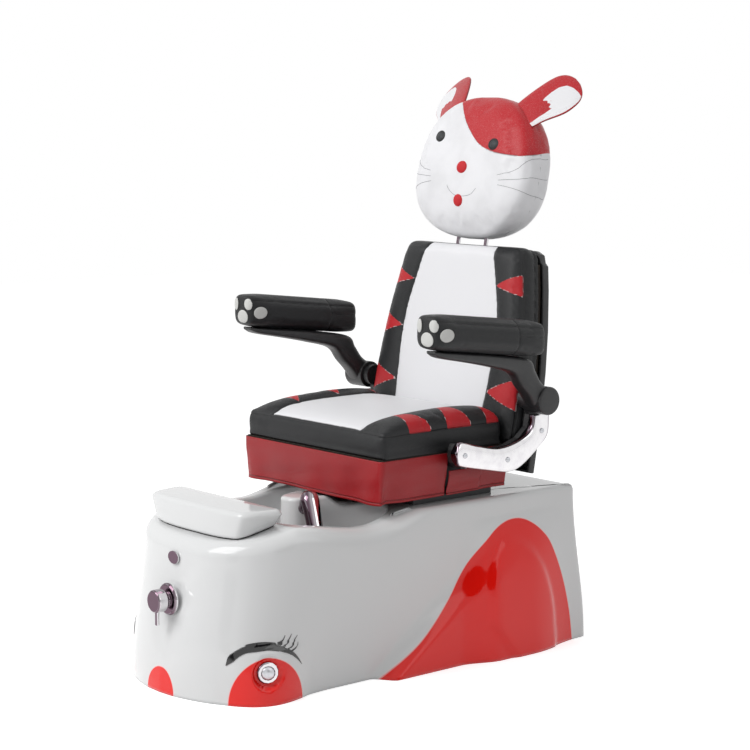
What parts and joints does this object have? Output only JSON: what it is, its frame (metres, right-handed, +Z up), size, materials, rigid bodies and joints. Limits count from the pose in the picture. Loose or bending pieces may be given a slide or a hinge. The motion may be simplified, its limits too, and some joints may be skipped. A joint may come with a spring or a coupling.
{
  "type": "kids spa chair",
  "caption": "Children's foot spa chair: a moulded foot bath with mixer, spout and jet under a sliding upholstered seat with lift-up arms and an animal-head headrest.",
  "frame": {"origin": "on the floor under the middle of the chair's footprint", "axes": "+X to the sitter's left, +Y to the rear, +Z up; the foot bath's front faces -Y"},
  "size_m": [0.7058, 1.0336, 1.2738],
  "materials": {
    "tub_gelcoat": "smooth glossy gelcoat over a moulded shell",
    "chrome": "polished chrome plate",
    "painted_steel": "dark powder coat",
    "zinc_steel": "bright zinc",
    "black_plastic": "fine grained black moulding",
    "black_vinyl": "grained black upholstery vinyl with white inserts",
    "white_vinyl": "white sparkling upholstery vinyl",
    "red_vinyl": "red sparkling upholstery vinyl",
    "rubber": "matt black rubber",
    "grey_plastic": "moulded grey plastic",
    "plywood": "bare plywood"
  },
  "bodies": {
    "base": {"tub_shell": "tub_gelcoat", "footrest": "tub_gelcoat", "footrest_gasket": "rubber", "base_frame": "painted_steel", "levelling_foot_front_left": "black_plastic", "levelling_foot_front_right": "black_plastic", "levelling_foot_rear_left": "black_plastic", "levelling_foot_rear_right": "black_plastic", "rear_access_panel": "tub_gelcoat", "mixer_escutcheon": "chrome", "mixer_valve": "zinc_steel", "badge_plate": "chrome", "button_bezel_left": "chrome", "button_bezel_right": "chrome", "spout_flange": "chrome", "spout": "chrome", "supply_hose": "rubber", "jet_housing": "grey_plastic", "jet_cover": "chrome", "jet_motor": "painted_steel", "drain_fitting": "chrome", "slide_base": "painted_steel"},
    "seat": {"slide_carriage": "painted_steel", "seat_frame": "painted_steel", "seat_board": "plywood", "seat_cushion": "black_vinyl", "skirt_front": "red_vinyl", "skirt_side_left": "red_vinyl", "skirt_side_right": "red_vinyl", "back_cushion": "black_vinyl", "back_board": "plywood", "back_cover": "black_plastic", "post_guide": "black_plastic", "side_bracket_left": "chrome", "side_bracket_right": "chrome", "bracket_backing_left": "black_plastic", "bracket_backing_right": "black_plastic", "bracket_bolt_left_1": "zinc_steel", "bracket_bolt_left_2": "zinc_steel", "bracket_bolt_left_3": "zinc_steel", "bracket_bolt_right_1": "zinc_steel", "bracket_bolt_right_2": "zinc_steel", "bracket_bolt_right_3": "zinc_steel"},
    "head": {"head_cushion": "white_vinyl", "head_post_left": "chrome", "head_post_right": "chrome", "ear_left": "red_vinyl", "ear_right": "red_vinyl"},
    "release": {"slide_release": "black_plastic"},
    "arm_left": {"arm_frame_left": "black_plastic", "arm_pad_left": "black_vinyl", "paw_patch_left": "white_vinyl"},
    "arm_right": {"arm_frame_right": "black_plastic", "arm_pad_right": "black_vinyl", "paw_patch_right": "white_vinyl"},
    "collar": {"mixer_collar": "chrome"},
    "lever": {"mixer_handle": "chrome"},
    "button_left": {"eye_button_left": "black_plastic"},
    "button_right": {"eye_button_right": "black_plastic"},
    "impeller": {"jet_impeller": "grey_plastic"}
  },
  "joints": [
    {"name": "seat_slide", "type": "slide", "parent": "base", "child": "seat", "axis": [0, 1, 0], "range_m": [0, 0.06]},
    {"name": "slide_release", "type": "hinge", "parent": "seat", "child": "release", "pos_m": [0, -0.05246, 0.392], "axis": [-1, 0, 0], "range_deg": [0, 12], "stiffness_Nm_per_rad": 2, "springref_deg": -5.73},
    {"name": "arm_left_lift", "type": "hinge", "parent": "seat", "child": "arm_left", "pos_m": [0, 0.30054, 0.57], "axis": [-1, 0, 0], "range_deg": [0, 80]},
    {"name": "arm_right_lift", "type": "hinge", "parent": "seat", "child": "arm_right", "pos_m": [0, 0.30054, 0.57], "axis": [-1, 0, 0], "range_deg": [0, 80]},
    {"name": "head_slide", "type": "slide", "parent": "seat", "child": "head", "axis": [0, 0.1874, 0.9823], "range_m": [0, 0.06]},
    {"name": "mixer_turn", "type": "hinge", "parent": "base", "child": "collar", "pos_m": [0, -0.48376, 0.193], "axis": [0, 1, 0], "range_deg": [-60, 60]},
    {"name": "mixer_lift", "type": "hinge", "parent": "collar", "child": "lever", "pos_m": [0, -0.49646, 0.193], "axis": [1, 0, 0], "range_deg": [0, 10]},
    {"name": "eye_button_left_press", "type": "slide", "parent": "base", "child": "button_left", "axis": [-0.9135, 0.4067, 0], "range_m": [0, 0.003], "stiffness_N_per_m": 600, "springref_m": -0.001},
    {"name": "eye_button_right_press", "type": "slide", "parent": "base", "child": "button_right", "axis": [0.9135, 0.4067, 0], "range_m": [0, 0.003], "stiffness_N_per_m": 600, "springref_m": -0.001},
    {"name": "jet_spin", "type": "hinge", "parent": "base", "child": "impeller", "pos_m": [-0.104, -0.20846, 0.1], "axis": [0, 0, 1], "continuous": true}
  ]
}
